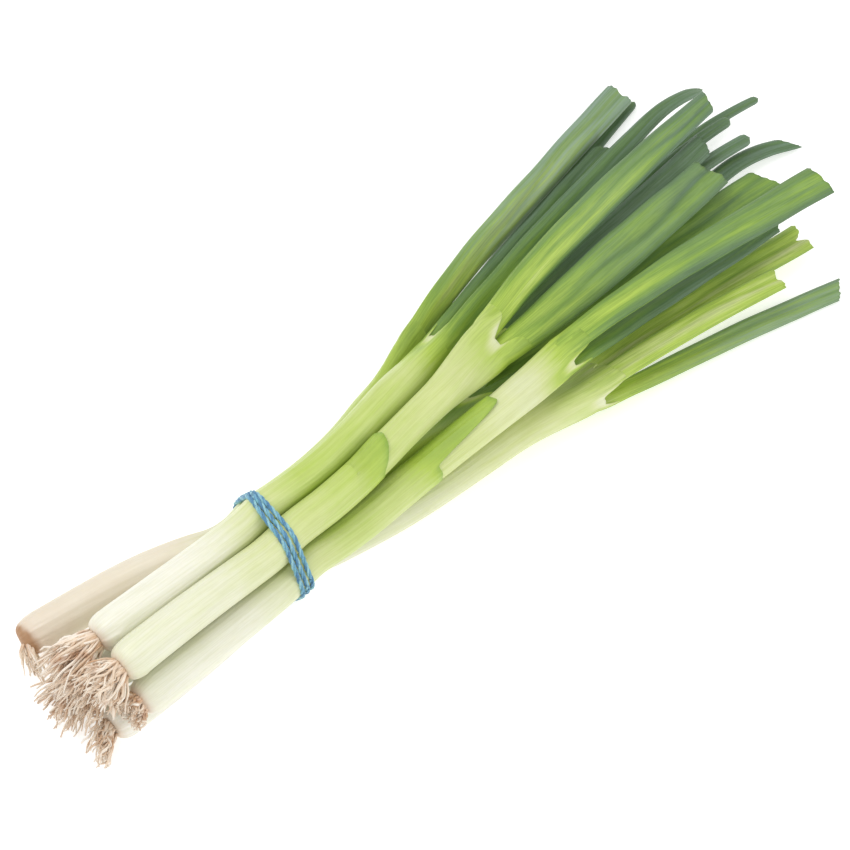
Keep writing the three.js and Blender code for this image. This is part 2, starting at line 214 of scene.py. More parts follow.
def make_mesh(name, points, quads, triangles, attributes):
    """Puts arrays of points, quads, triangles and point attributes into a new smooth mesh object.

    Points below the ground are lifted onto it.
    """
    mesh = bpy.data.meshes.new(name)
    points = points.copy()
    points[:, 2] = np.maximum(points[:, 2], GROUND)
    corners = np.concatenate([quads.ravel(), triangles.ravel()]).astype(np.int32)
    sizes = np.concatenate([np.full(len(quads), 4), np.full(len(triangles), 3)])
    mesh.vertices.add(len(points))
    mesh.vertices.foreach_set("co", points.astype(np.float32).ravel())
    mesh.loops.add(len(corners))
    mesh.loops.foreach_set("vertex_index", corners)
    mesh.polygons.add(len(sizes))
    starts = np.concatenate([[0], np.cumsum(sizes)[:-1]]).astype(np.int32)
    mesh.polygons.foreach_set("loop_start", starts)
    mesh.update(calc_edges=True)
    mesh.polygons.foreach_set("use_smooth", np.ones(len(sizes), bool))
    for key, values in attributes.items():
        values = np.asarray(values, np.float32)
        if values.ndim == 2:
            layer = mesh.attributes.new(key, "FLOAT_VECTOR", "POINT")
            layer.data.foreach_set("vector", values.ravel())
        else:
            layer = mesh.attributes.new(key, "FLOAT", "POINT")
            layer.data.foreach_set("value", values)
    mesh.validate()
    obj = bpy.data.objects.new(name, mesh)
    bpy.context.scene.collection.objects.link(obj)
    return obj


def skin_object(name, grid, attributes):
    """A closed skin from a grid of rows x columns points, with a pole closing each end.

    Each pole is the middle of its end row, and takes the mean of that row's attributes.
    """
    rows, columns = grid.shape[:2]
    points = np.concatenate([grid.reshape(-1, 3), grid[[0, -1]].mean(1)])
    packed = {}
    for key, values in attributes.items():
        inner = values.reshape(rows * columns, *values.shape[2:])
        packed[key] = np.concatenate([inner, values[[0, -1]].mean(1)])
    return make_mesh(name, points, *closed_grid(rows, columns), packed)


def tubes_object(name, paths, radii, sides, attributes):
    """Many thin closed tubes as one mesh: n paths of m points, with a radius at every point.

    A ring of points is carried along each path, square to it, and a pole closes each end.
    """
    n, m = paths.shape[:2]
    along = np.gradient(paths, axis=1)
    along /= np.linalg.norm(along, axis=-1, keepdims=True)
    across = np.cross(along, np.array([0.31, 0.17, 0.93]))
    across /= np.linalg.norm(across, axis=-1, keepdims=True)
    other = np.cross(along, across)
    turn = TAU * np.arange(sides) / sides
    ring = across[:, :, None] * np.cos(turn)[:, None] + other[:, :, None] * np.sin(turn)[:, None]
    points = paths[:, :, None] + ring * radii[:, :, None, None]
    points = np.concatenate([points.reshape(n, -1, 3), paths[:, [0, -1]]], 1).reshape(-1, 3)
    starts = (m * sides + 2) * np.arange(n)[:, None, None]
    quads, triangles = closed_grid(m, sides)
    packed = {}
    for key, values in attributes.items():
        spread = np.repeat(values, sides, axis=1)
        packed[key] = np.concatenate([spread, values[:, [0, -1]]], 1).ravel()
    return make_mesh(
        name, points, (quads + starts).reshape(-1, 4), (triangles + starts).reshape(-1, 3), packed
    )


def waves(rng, at, lengths, size):
    """Smooth random sway along a line: a sum of sines of given wavelengths, at random phases."""
    phase = rng.uniform(0, TAU, len(lengths))
    strength = rng.uniform(0.5, 1, len(lengths))
    turn = TAU * at[None] / np.array(lengths)[:, None] + phase[:, None]
    return size * (strength[:, None] * np.sin(turn)).sum(0) / strength.sum()


# --- Materials -----------------------------------------------------------------------------


class Shade:
    """A node's output in a material. Arithmetic on it adds Math nodes."""

    def __init__(self, tree, socket):
        self.tree = tree
        self.socket = socket

    def node(self, kind, settings=None, sockets=None, out=0):
        """Adds a node: its settings or ramp stops first, then numbers or links for its sockets."""
        made = self.tree.nodes.new(kind)
        for key, value in (settings or {}).items():
            if key == "stops":
                fill_ramp(made.color_ramp, value)
            else:
                setattr(made, key, value)
        for key, value in (sockets or {}).items():
            if isinstance(value, Shade):
                self.tree.links.new(value.socket, made.inputs[key])
            else:
                made.inputs[key].default_value = value
        return Shade(self.tree, made.outputs[out])

    def math(self, operation, *values):
        return self.node("ShaderNodeMath", {"operation": operation}, dict(enumerate(values)))

    def mix(self, other, factor, blend="MIX"):
        """This colour mixed towards another, a link or a display colour, by a factor."""
        other = other if isinstance(other, Shade) else linear(other)
        settings = {"data_type": "RGBA", "blend_type": blend, "clamp_factor": True}
        return self.node("ShaderNodeMix", settings, {0: factor, 6: self, 7: other}, 2)

    def scaled(self, factors):
        """This vector times another, part by part."""
        return self.node("ShaderNodeVectorMath", {"operation": "MULTIPLY"}, {0: self, 1: factors})

    def ramp(self, stops):
        """The colour at this place among stops (place, display colour)."""
        return self.node("ShaderNodeValToRGB", {"stops": stops}, {0: self})

    def noise(self, scale, detail=3, roughness=0.5):
        sockets = {"Vector": self, "Scale": scale, "Detail": detail, "Roughness": roughness}
        return self.node("ShaderNodeTexNoise", None, sockets)

    def bump(self, strength, distance):
        """The normal that this height gives, distance being its full height in metres."""
        sockets = {"Strength": strength, "Distance": distance, "Height": self}
        return self.node("ShaderNodeBump", None, sockets)

    def between(self, low, high):
        """0 below low, 1 above high, smooth between."""
        settings = {"interpolation_type": "SMOOTHSTEP"}
        return self.node("ShaderNodeMapRange", settings, {0: self, 1: low, 2: high})

    def __add__(self, other):
        return self.math("ADD", self, other)

    def __radd__(self, other):
        return self.math("ADD", other, self)

    def __sub__(self, other):
        return self.math("SUBTRACT", self, other)

    def __rsub__(self, other):
        return self.math("SUBTRACT", other, self)

    def __mul__(self, other):
        return self.math("MULTIPLY", self, other)

    def __rmul__(self, other):
        return self.math("MULTIPLY", other, self)


def linear(colour):
    """A display colour, 0 to 255, as the linear colour that shaders use."""
    c = np.array(colour, float) / 255
    return (*np.where(c <= 0.04045, c / 12.92, ((c + 0.055) / 1.055) ** 2.4), 1.0)


def fill_ramp(ramp, stops):
    """Gives a colour ramp the stops (place, display colour)."""
    while len(ramp.elements) < len(stops):
        ramp.elements.new(1)
    for element, (place, colour) in zip(ramp.elements, stops):
        element.position = place
        element.color = linear(colour)


def new_material(name, constants, build):
    """A material of one Principled shader: constants for its sockets, and build for what varies."""
    made = bpy.data.materials.new(name)
    made.use_nodes = True
    tree = made.node_tree
    tree.nodes.clear()
    shader = tree.nodes.new("ShaderNodeBsdfPrincipled")
    output = tree.nodes.new("ShaderNodeOutputMaterial")
    tree.links.new(shader.outputs[0], output.inputs["Surface"])
    for key, value in constants.items():
        shader.inputs[key].default_value = value
    for key, value in build(Shade(tree, None)).items():
        tree.links.new(value.socket, shader.inputs[key])
    return made


def attribute(base, name, out=2):
    """A piece's own attribute: its number, or with out=1 its vector."""
    return base.node("ShaderNodeAttribute", {"attribute_name": name}, None, out)


# Display colours from the root plate to the leaf tips, each at its place on the "shade" scale.
SHADES = [
    (0.00, (238, 235, 228)),
    (0.15, (229, 229, 208)),
    (0.30, (205, 213, 148)),
    (0.45, (174, 198, 80)),
    (0.60, (134, 166, 62)),
    (0.75, (102, 136, 64)),
    (0.88, (79, 111, 66)),
    (1.00, (102, 129, 104)),
]
PLATE_TAN = (220, 205, 186)
PLATE_BROWN = (170, 130, 94)
# Painted shade: the dark olive that points between and under strands are multiplied towards.
NOOK_SHADE_GREEN = (104, 116, 30)


def skin_nodes(base, stem, leaf):
    """The living skin: shade along the plant, veins, mottling, wax bloom and a brown plate, with
    painted shade between and under strands and a faint glow that is painted light.

    The "leafy" attribute carries it from a stem's finish, at 0, to a leaf's, at 1.
    """
    skin = attribute(base, "skin", 1)
    place = base.node("ShaderNodeTexCoord", None, None, 3)
    leafy = attribute(base, "leafy")

    def grown(key):
        return getattr(stem, key) + (getattr(leaf, key) - getattr(stem, key)) * leafy

    veins = skin.scaled((1, 1, 0.5)).noise(15, 2, 0.6)
    bands = skin.scaled((1, 1, 0.7)).noise(4.2, 2, 0.5)
    mottle = place.noise(90, 3, 0.6)
    speck = place.noise(900, 2, 0.5)
    drift = (bands - 0.5) * grown("band_shift") + (mottle - 0.5) * 0.07
    # Painted shade between and under strands: greener on the shade scale, then multiplied darker.
    nook = attribute(base, "nook") * (0.8 + 0.4 * mottle)
    colour = (attribute(base, "shade") + drift + 0.14 * nook).ramp(SHADES)
    stem_tint, leaf_tint = (255 * np.array(look.vein_colour) for look in (stem, leaf))
    tint = leafy.ramp([(0, stem_tint), (1, leaf_tint)])
    dark = colour.mix(tint, 1.0, "MULTIPLY")
    colour = colour.mix(dark, veins.between(0.42, 0.62) * grown("vein_strength"))
    wax = attribute(base, "bloom") * (0.35 + 0.65 * bands.between(0.35, 0.65))
    colour = colour.mix(255 * np.array(leaf.bloom_colour), wax)
    brown = attribute(base, "plate") * (0.75 + 0.5 * mottle)
    colour = colour.mix(PLATE_TAN, brown.between(0.05, 0.6))
    colour = colour.mix(PLATE_BROWN, brown.between(0.55, 1.15))
    colour = colour.mix(colour.mix(NOOK_SHADE_GREEN, 1.0, "MULTIPLY"), nook)
    height = veins * grown("vein_depth") + bands * 0.5 + speck * 0.12
    normal = height.bump(0.35, 0.4 * MM)
    rough = grown("roughness") + 0.12 * (mottle - 0.5) + 0.1 * attribute(base, "plate")
    # The glow is painted light: the skin shines faintly in its own colour, lifting its shadows.
    return {"Base Color": colour, "Roughness": rough, "Normal": normal, "Emission Color": colour}


# --- Routes and outlines of the strands ----------------------------------------------------

TUCKED = 3  # rings of a leaf's route that stand inside the stem, before the leaf's own


def ellipse_reach(spread, offset):
    """How far an ellipse reaches from a point along each column, or 0 where the ray misses it.

    The ellipse is all points whose offset d from its centre has d . inverse(spread) . d = 1.
    """
    inverse = np.linalg.inv(spread)
    a = np.einsum("ki,nij,kj->nk", RAY, inverse, RAY)
    b = np.einsum("ki,nij,nj->nk", RAY, inverse, offset)
    c = np.einsum("ni,nij,nj->n", offset, inverse, offset)[:, None] - 1
    under = b * b - a * c
    return np.where(under > 0, (b + np.sqrt(np.maximum(under, 0))) / a, 0)


def body_reach(route, x):
    """Reach of the route's own ellipse at each x, along each column."""
    return ellipse_reach(route.at(x)[1], np.zeros((len(x), 2)))


def hull_reach(spreads, offsets):
    """How far the tight wrapping round several ellipses reaches along each column."""
    support = [
        offset @ NORMAL_RAY.T + np.sqrt(np.einsum("ki,nij,kj->nk", NORMAL_RAY, spread, NORMAL_RAY))
        for spread, offset in zip(spreads, offsets)
    ]
    return radial_of_support(np.max(support, axis=0), ANGLES)


def stem_route(onion):
    """An onion's whole stem, outer sheath and inner stem together, without its rounded root end."""
    route = Route.of_node(onion + "_stem", skip=2)
    if onion in MOUTHS:
        inner = Route.of_node(onion + "_inner_stem")
        route = Route(route.x[:-1], route.centre[:-1], route.spread[:-1]).joined(inner)
    return route.eased(2)


def leaf_routes(onion):
    """The routes of an onion's leaves, each begun inside the stem beside the stem's own centre."""
    stem = stem_route(onion)
    tuck = np.array([0.45, 0.55, 0.75])
    routes = {}
    for name in sorted(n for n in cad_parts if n.startswith(onion + "_leaf_")):
        leaf = Route.of_node(name).eased(4)
        inside = leaf.x[0] - np.array([18, 12, 6]) * MM
        offset = leaf.centre[0] - stem.at(leaf.x[:1])[0][0]
        start = Route(
            inside,
            stem.at(inside)[0] + offset * tuck[:, None],
            leaf.spread[:1] * (tuck**2)[:, None, None],
        )
        routes[name] = start.joined(leaf)
    return routes


@cache
def strands():
    """Every stem's and leaf's route, by the name of its node."""
    routes = {}
    for onion in ONIONS:
        routes[onion + "_stem"] = stem_route(onion)
        routes.update(leaf_routes(onion))
    return routes


def painted_nook_shade(grid, node):
    """Painted shade between strands and under them: 1 where strands touch, 0 in the open.

    A strand's ellipse has level 1, so a point is about (level - 1) times the ellipse's mean
    half-axis away from it, and the painted shade fades with that distance, more slowly on a
    strand that lies below the other. A leaf starts to count for its sisters a little way out
    from their fork, and a stem never counts for its own leaves.
    """
    x, flat = grid[..., 0], grid[..., 1:]
    close = (0.5 + 0.7 * ease(-0.14, -0.05, x)) * MM
    under_shade_share = 0.6 if "leaf" in node else 0.28
    deepest_shade = np.zeros(x.shape)
    for name, route in strands().items():
        sister = name[:7] == node[:7]
        if name == node or (sister and ("leaf" not in name or "stem" in node)):
            continue
        inside = np.clip(x, route.x[0], route.x[-1])
        centre, spread, _ = route.at(inside)
        offset = flat - centre
        a, b, d = spread[..., 0, 0], spread[..., 0, 1], spread[..., 1, 1]
        size = np.maximum(a * d - b * b, 1e-14)
        u, v = offset[..., 0], offset[..., 1]
        level = np.sqrt(np.maximum(d * u * u - 2 * b * u * v + a * v * v, 0) / size)
        away = np.hypot(np.maximum((level - 1) * size**0.25, 0), x - inside)
        below = ease(0, 4 * MM, centre[..., 1] - grid[..., 2])
        near = np.maximum(np.exp(-away / close), under_shade_share * below * np.exp(-away / (5 * MM)))
        if sister:
            near = near * ease(route.x[TUCKED] + 0.004, route.x[TUCKED] + 0.03, x)
        deepest_shade = np.maximum(deepest_shade, near)
    return deepest_shade


def round_grid(x, centre, reach):
    """Points at a reach from a centre along every column, in planes of constant X."""
    grid = np.empty((*reach.shape, 3))
    grid[..., 0] = x
    grid[..., 1:] = centre + reach[..., None] * RAY
    return grid


def slid(grid, slope, amount):
    """Slides points along the strand's own direction, by rows x columns of metres."""
    direction = np.concatenate([np.ones((len(slope), 1)), slope], 1)
    return grid + amount[..., None] * direction[:, None]


def squaring(grid, centre, slope):
    """The slide along the strand that brings a plane of constant X square to the strand."""
    offset = grid[..., 1:] - centre[:, None]
    along = (offset * slope[:, None]).sum(-1)
    return -along / (1 + (slope**2).sum(-1))[:, None]


def ribs(rng, x, size):
    """Fine lengthwise ridges: sines round the piece that drift slowly along it."""
    total = 0
    for count in (7, 11, 17, 26):
        phase = rng.uniform(0, TAU) + waves(rng, x, [0.09, 0.05], 0.6)
        total = total + rng.uniform(0.4, 1) * np.sin(count * ANGLES[None] + phase[:, None])
    return size * total


def smooth_round(values, width=2.0):
    """Averages values round a closed ring with a bell curve of the given width, in columns."""
    gap = np.minimum(np.arange(COLUMNS), COLUMNS - np.arange(COLUMNS))
    bell = np.exp(-0.5 * (gap / width) ** 2)
    return np.real(np.fft.ifft(np.fft.fft(values) * np.fft.fft(bell / bell.sum())))


def extreme(choose, values, columns=5):
    """The least or greatest value within some columns of each, round a closed ring."""
    return choose.reduce([np.roll(values, turn) for turn in range(-columns, columns + 1)])


def skin_attribute(along, seed):
    """The vector that skin patterns read: a turn round the piece and its length, free of seams."""
    skin = np.empty((len(along), COLUMNS, 3))
    skin[..., 0] = np.cos(ANGLES) + 7.3 * seed
    skin[..., 1] = np.sin(ANGLES) + 3.1 * seed
    skin[..., 2] = along / 0.1
    return skin


def finish_piece(obj, node, material):
    """Gives the piece its material, rides it on the bunch, and hides the CAD node it stands for."""
    obj.data.materials.append(material)
    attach(obj, "root")
    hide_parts(node)


# --- Pieces: stems -------------------------------------------------------------------------

# Places on the shade scale at the roots, before and past the tie, before the fork and past it.
STEM_SHADES = {
    "onion_1": (0.06, 0.14, 0.32, 0.40, 0.47),
    "onion_2": (0.00, 0.10, 0.41, 0.36, 0.44),
    "onion_3": (-0.02, 0.18, 0.38, 0.32, 0.37),
    "onion_4": (0.00, 0.12, 0.38, 0.26, 0.24),
    "onion_5": (0.00, 0.04, 0.17, 0.30, 0.36),
    "onion_6": (0.05, 0.12, 0.30, 0.48, 0.55),
    "onion_7": (0.05, 0.12, 0.30, 0.46, 0.55),
}
# How far each stem runs past the CAD stem's root end, in millimetres.
STEM_ENDS = dict(zip(ONIONS, (2.8, 0.6, 0.6, 1.2, 0.4, 0.4, 0.4)))
# Where an onion's outer sheath ends short of its fork: the longer side's direction, in degrees
# from +Y towards +Z, how much longer it is, the cosines of the turn away from it at which the
# tongue begins and is whole, and how far its lip stands off. Millimetres.
MOUTHS = {
    "onion_3": {"toward": 40, "longer": 9, "sides": (-1.0, 1.0), "flare": 0.5},
    "onion_4": {"toward": 62, "longer": 31, "sides": (0.30, 0.92), "flare": 0.3},
}
STAINED = "onion_1"  # the outermost stem, browner than the others
SQUARED = 0.02  # length over which a stem turns from square at its plate to planes of X
MOUTH_BEND = 0.035  # length over which a mouth's tongue is drawn out


def stem_rows(x_from, x_to):
    """Evenly spaced rows, about 1.6 mm apart."""
    return np.linspace(x_from, x_to, int((x_to - x_from) / (1.6 * MM)))


def stem_shade(x, fork, shades):
    """Place on the shade scale along a stem: white to the tie, then greener towards the fork."""
    places = [-1, TIE_CENTRE[0] - 0.03, TIE_CENTRE[0] + 0.02, fork - 0.02, fork + 0.012]
    return np.interp(x, places, shades)


def plate_brown(x, plate_x):
    """How brown a stem is near its root plate: most on the plate, gone over some millimetres."""
    gone = np.maximum((x - plate_x) / MM + 1, 0)
    return 0.6 * np.exp(-gone / 1.1) + 0.16 * np.exp(-gone / 9)


def root_end(onion, route, plate_x, rng):
    """The rows that round a stem off, from its root plate's middle to the full stem."""
    longer = STEM_ENDS[onion]
    share = np.array([0.0, 0.2, 0.4, 0.55, 0.65, 0.74, 0.83, 0.9, 0.95, 0.98, 1.0])
    push = np.array([0.0, 0.05, 0.12, 0.25, 0.5, 0.85, 1.4, 2.2, 3.1, 4.2, 5.4]) * MM
    x = plate_x - longer * MM + push * (1 + longer / 6)
    full = body_reach(route, np.full(len(x), route.x[0]))
    knobs = ribs(rng, x, 0.10 * MM) * ease(0.2, 0.6, share)[:, None]
    return x, np.maximum(share, 0.02)[:, None] * full + knobs


def make_stem(onion, settings, material):
    """An onion's outer stem: the CAD ellipses, rounded off at the root plate, and its sheath."""
    rng = np.random.default_rng(100 + ONIONS.index(onion))
    plate_x = node_points(onion + "_stem")[:, 0].min()
    if onion in MOUTHS:
        sheath_to_mouth(onion, plate_x, settings, material, rng)
    else:
        sheath_to_fork(onion + "_stem", stem_route(onion), settings, material, rng, plate_x)


def make_inner_stem(onion, settings, material):
    """The inner stem that comes out of a mouth, begun a little way down inside the sheath."""
    rng = np.random.default_rng(200 + ONIONS.index(onion))
    route = stem_route(onion)
    inner = Route.of_node(onion + "_inner_stem")
    mouth_x = inner.x[0]
    route.spread[route.x <= mouth_x - 0.001] = inner.spread[0]
    sheath_to_fork(
        onion + "_inner_stem", route, settings, material, rng, inner_start=mouth_x - 0.016
    )


def sheath_to_mouth(onion, plate_x, settings, material, rng):
    """A stem whose sheath ends in a tongue-shaped mouth, with the inner stem coming out of it.

    It is a thin wall: the outline runs to the mouth, turns over its rim and goes back inside.
    """
    look = MOUTHS[onion]
    route = Route.of_node(onion + "_stem", skip=2).eased(2)
    mouth_x = route.x[-1]
    wall = settings.wall * MM
    start_x, start_reach = root_end(onion, route, plate_x, rng)
    x = stem_rows(start_x[-1] + 1.5 * MM, mouth_x)
    outer = body_reach(route, x) + ribs(rng, x, settings.rib * MM)
    side = ease(*look["sides"], np.cos(ANGLES - np.radians(look["toward"])))
    tongue = (look["longer"] * side - 3) * MM + waves(rng, ANGLES, [TAU / 5, TAU / 9], 0.35 * MM)
    stretch = ease(mouth_x - MOUTH_BEND, mouth_x, x)[:, None] * tongue
    lip = look["flare"] * MM * ease(mouth_x - 0.012, mouth_x, x)[:, None] * side
    inward = np.linspace(mouth_x, mouth_x - 0.014, 9)
    inner = body_reach(route, inward) - wall
    rim = outer[-1:] + lip[-1:] - np.array([[0.2], [0.8]]) * wall
    x = np.concatenate([start_x, x, [mouth_x, mouth_x], inward])
    reach = np.concatenate([start_reach, outer + lip, rim, inner + lip[-1:]])
    over = np.repeat(tongue[None] + 0.15 * MM, 2, 0)
    bend = ease(mouth_x - MOUTH_BEND, mouth_x, inward)[:, None] * tongue
    slide = np.concatenate([np.zeros_like(start_reach), stretch, over, bend])

    shade = stem_shade(x, mouth_x + 0.03, STEM_SHADES[onion])[:, None]
    tip = ease(mouth_x - 0.028, mouth_x + 0.004, x[:, None] + slide)
    shade = shade + (settings.mouth_green - shade) * tip**1.5
    shade = shade + settings.mouth_rim * ease(mouth_x - 0.0025, mouth_x, x)[:, None]
    centre, _, slope = route.at(x)
    grid = round_grid(x[:, None], centre[:, None], reach)
    fade = (1 - ease(plate_x, plate_x + SQUARED, x))[:, None]
    grid = slid(grid, slope, slide + squaring(grid, centre, slope) * fade)
    node = onion + "_stem"
    attributes = {
        "shade": shade,
        "skin": skin_attribute(x[:, None], ONIONS.index(onion)),
        "plate": np.repeat(plate_brown(x, plate_x)[:, None], COLUMNS, 1),
        # Painted shade between and under strands.
        "nook": painted_nook_shade(grid, node),
    }
    finish_piece(skin_object(node + "_skin", grid, attributes), node, material)


def sheath_to_fork(node, route, settings, material, rng, plate_x=None, inner_start=None):
    """A stem that forks into its leaves, begun at its root plate or inside another's sheath.

    Past the fork its outline is the tight wrapping round its leaf bases. The sheath ends where
    that wrapping would have to bridge a gap between two leaves, which leaves a notch there, and
    elsewhere it thins out against a leaf and sinks into it.
    """
    onion = node[:7]
    leaves = leaf_routes(onion)
    fork = min(leaf.x[TUCKED] for leaf in leaves.values())
    step = 0.5 * MM
    probe = np.arange(fork - 0.034, fork + settings.tongue * MM, step)
    held = np.maximum(probe, fork)
    middle = route.at(probe)[0]
    drawn_back = middle - route.at(held)[0]
    sections = [leaf.at(held) for leaf in leaves.values()]
    centres = [centre + drawn_back for centre, _, _ in sections]
    spreads = [spread for _, spread, _ in sections]
    blend = ease(fork - 0.032, fork + 0.001, probe)[:, None]
    centre = middle + blend * (np.mean(centres, axis=0) - middle)
    offsets = [leaf_centre - centre for leaf_centre in centres]
    wrap = hull_reach(spreads, offsets)
    singly = np.stack([ellipse_reach(*leaf) for leaf in zip(spreads, offsets)])
    own = ellipse_reach(route.at(probe)[1], middle - centre)
    reach = own + blend * (wrap - own)

    bridged = (wrap - singly.max(0) > settings.web * MM) & (probe[:, None] > fork + 0.001)
    first = np.where(bridged.any(0), bridged.argmax(0), len(probe) - 1)
    first = extreme(np.maximum, extreme(np.minimum, first))
    end = smooth_round(probe[first]) + waves(rng, ANGLES, [TAU / 3, TAU / 7], 0.8 * MM)
    end = np.clip(end, fork + 0.0015, probe[-1] - step)
    sunk = smooth_round((first == len(probe) - 1).astype(float))
    t = np.linspace(0, 1, 30)[:, None]
    x_fork = probe[0] + t * (end - probe[0])
    index = (x_fork - probe[0]) / step
    low = np.clip(index.astype(int), 0, len(probe) - 2)
    part = index - low
    columns = np.arange(COLUMNS)
    lift = settings.lift * MM * ease(fork - 0.012, fork - 0.002, x_fork)
    lift = lift - (settings.lift + 0.2) * MM * sunk * ease(0.55, 1, t)
    reach_fork = reach[low, columns] * (1 - part) + reach[low + 1, columns] * part + lift
    centre_fork = np.stack([np.interp(x_fork, probe, centre[:, k]) for k in (0, 1)], -1)

    if inner_start is None:
        start_x, start_reach = root_end(onion, route, plate_x, rng)
    else:
        start_x = inner_start + np.array([0.0, 0.6]) * MM
        start_reach = body_reach(route, start_x) * 0.9
    x = stem_rows(start_x[-1] + 1.5 * MM, probe[0] - 1.0 * MM)
    outer = body_reach(route, x) + ribs(rng, x, settings.rib * MM) * (
        1 - ease(probe[0] - 0.02, probe[0], x)[:, None]
    )
    x = np.concatenate([start_x, x])
    middle, _, slope = route.at(x)
    plain = round_grid(x[:, None], middle[:, None], np.concatenate([start_reach, outer]))
    if inner_start is None:
        fade = (1 - ease(plate_x, plate_x + SQUARED, x))[:, None]
        plain = slid(plain, slope, squaring(plain, middle, slope) * fade)

    wall = settings.wall * MM
    rim = reach_fork[-1:] - np.array([[0.3], [0.7]]) * wall
    back = slice(None, 6, -2)
    grid = np.concatenate(
        [
            plain,
            round_grid(x_fork, centre_fork, reach_fork),
            round_grid(x_fork[-1:] + 0.12 * MM, centre_fork[-1:], rim),
            round_grid(x_fork[back], centre_fork[back], reach_fork[back] - wall),
        ]
    )
    along = grid[..., 0]
    shade = stem_shade(along, fork, STEM_SHADES[onion])
    at_end = np.clip(((end - probe[0]) / step).astype(int), 0, None)
    owner = singly[:, at_end, columns].argmax(0)
    bases = np.array([LEAVES[name]["shade"][0] for name in leaves])
    near = ease(fork - 0.020, end - 0.001, along)
    shade = shade + (smooth_round(bases[owner]) - shade) * near
    web = (1 - sunk) ** 2 * ease(end - 0.008, end - 0.001, along)
    shade = shade + (settings.membrane - shade) * 0.85 * web
    plate = np.zeros(along.shape) if plate_x is None else plate_brown(along, plate_x)
    if onion == STAINED:
        plate = plate + settings.stain * (1 - ease(plate_x + 0.045, plate_x + 0.09, along))
    attributes = {
        "shade": shade,
        "skin": skin_attribute(along, ONIONS.index(onion) + (0.5 if plate_x is None else 0)),
        "leafy": near * sunk,
        "plate": plate,
        # Painted shade between and under strands.
        "nook": painted_nook_shade(grid, node),
    }
    finish_piece(skin_object(node + "_skin", grid, attributes), node, material)


# --- Pieces: leaves ------------------------------------------------------------------------

# Each leaf: shades at its base, middle and tip, wax bloom, the depth of the crease along its
# upper face as a share of its thickness, and how its tip ends. A cut tip is slanted by some
# millimetres from one edge to the other, and may have a notch in its middle. A pointed tip closes
# over a length in millimetres, and a higher blunt makes it finer. Longer is past the CAD leaf's
# end. Bands run along the upper face, each a place across it from -1 to 1, a half-width, a shift
# on the shade scale and the share of the length where it is gone. Most bands are the leaf's own
# stripes; the two marked below are painted shade along the leaf's -Y edge.
LEAVES = {
    "onion_1_leaf_1": {
        "shade": (0.50, 0.50, 0.74), "bloom": 0.75, "crease": 0.35, "slant": -2, "longer": 2,
        "notch": 0.8, "bands": [(0.8, 0.3, 0.12, 2), (0.1, 0.4, -0.05, 1)],
    },
    "onion_1_leaf_2": {"shade": (0.66, 0.90, 0.88), "bloom": 0.05, "crease": 0.20, "point": 4},
    "onion_2_leaf_1": {"shade": (0.60, 0.86, 0.86), "bloom": 0.10, "crease": 0.30, "slant": -6},
    "onion_2_leaf_2": {
        "shade": (0.52, 0.82, 0.90), "bloom": 0.15, "crease": 0.25, "point": 10, "blunt": 0.65,
        "bands": [(-0.3, 0.3, 0.08, 2)],
    },
    "onion_3_leaf_1": {
        "shade": (0.43, 0.62, 0.80), "bloom": 0.20, "crease": 0.55, "slant": 3,
        # The band at -1 is painted shade along the leaf's -Y edge.
        "bands": [(-0.35, 0.4, -0.08, 0.9), (0.75, 0.3, 0.08, 2), (-1, 0.2, 0.25, 2)],
    },
    "onion_3_leaf_2": {
        "shade": (0.48, 0.70, 0.76), "bloom": 0.20, "crease": 0.70, "slant": -3,
        "bands": [(-0.5, 0.2, -0.06, 2), (0.6, 0.3, -0.05, 2)],
    },
    "onion_4_leaf_1": {
        "shade": (0.55, 0.68, 0.68), "bloom": 0.10, "crease": 0.25, "slant": -3,
        # The band at -0.9 is painted shade along the leaf's -Y edge.
        "bands": [(-0.1, 0.5, -0.07, 0.55), (-0.9, 0.25, 0.12, 2), (0.6, 0.2, 0.06, 2)],
    },
    "onion_4_leaf_2": {"shade": (0.60, 0.86, 0.86), "bloom": 0.10, "crease": 0.30, "slant": 3},
    "onion_5_leaf_1": {
        "shade": (0.38, 0.41, 0.42), "bloom": 0.02, "crease": 0.40, "slant": 2, "notch": 1.0,
        "bands": [(0.6, 0.3, 0.08, 2), (-0.4, 0.2, -0.03, 2)],
    },
    "onion_5_leaf_2": {
        "shade": (0.38, 0.44, 0.42), "bloom": 0.02, "crease": 0.60, "slant": 1, "notch": 3.5,
        "bands": [(0.5, 0.3, 0.1, 2), (-0.4, 0.2, -0.06, 2)],
    },
    "onion_5_leaf_3": {
        "shade": (0.40, 0.54, 0.72), "bloom": 0.55, "crease": 0.40, "slant": 4, "longer": 2.5,
        "bands": [(0.8, 0.3, 0.1, 2)],
    },
    "onion_6_leaf_1": {"shade": (0.60, 0.86, 0.90), "bloom": 0.15, "crease": 0.30, "point": 3},
    "onion_6_leaf_2": {"shade": (0.60, 0.86, 0.90), "bloom": 0.15, "crease": 0.30, "point": 3},
    "onion_6_leaf_3": {"shade": (0.50, 0.72, 0.70), "bloom": 0.05, "crease": 0.45, "slant": -6},
    "onion_7_leaf_1": {"shade": (0.66, 0.90, 0.92), "bloom": 0.20, "crease": 0.20, "slant": 2},
    "onion_7_leaf_2": {"shade": (0.60, 0.88, 0.92), "bloom": 0.20, "crease": 0.30, "point": 3},
    "onion_7_leaf_3": {
        "shade": (0.60, 0.86, 0.90), "bloom": 0.10, "crease": 0.35, "slant": -8,
        "bands": [(-0.2, 0.3, 0.08, 2)],
    },
}
LEAF_START = 0.008  # how far along its route a leaf begins, still inside the stem
INSIDE_ROWS = 22  # rows of a cut leaf that its hollow reaches back over
THINNEST = (0.3 * MM, 0.25 * MM)  # least half-width and half-thickness of a hollow


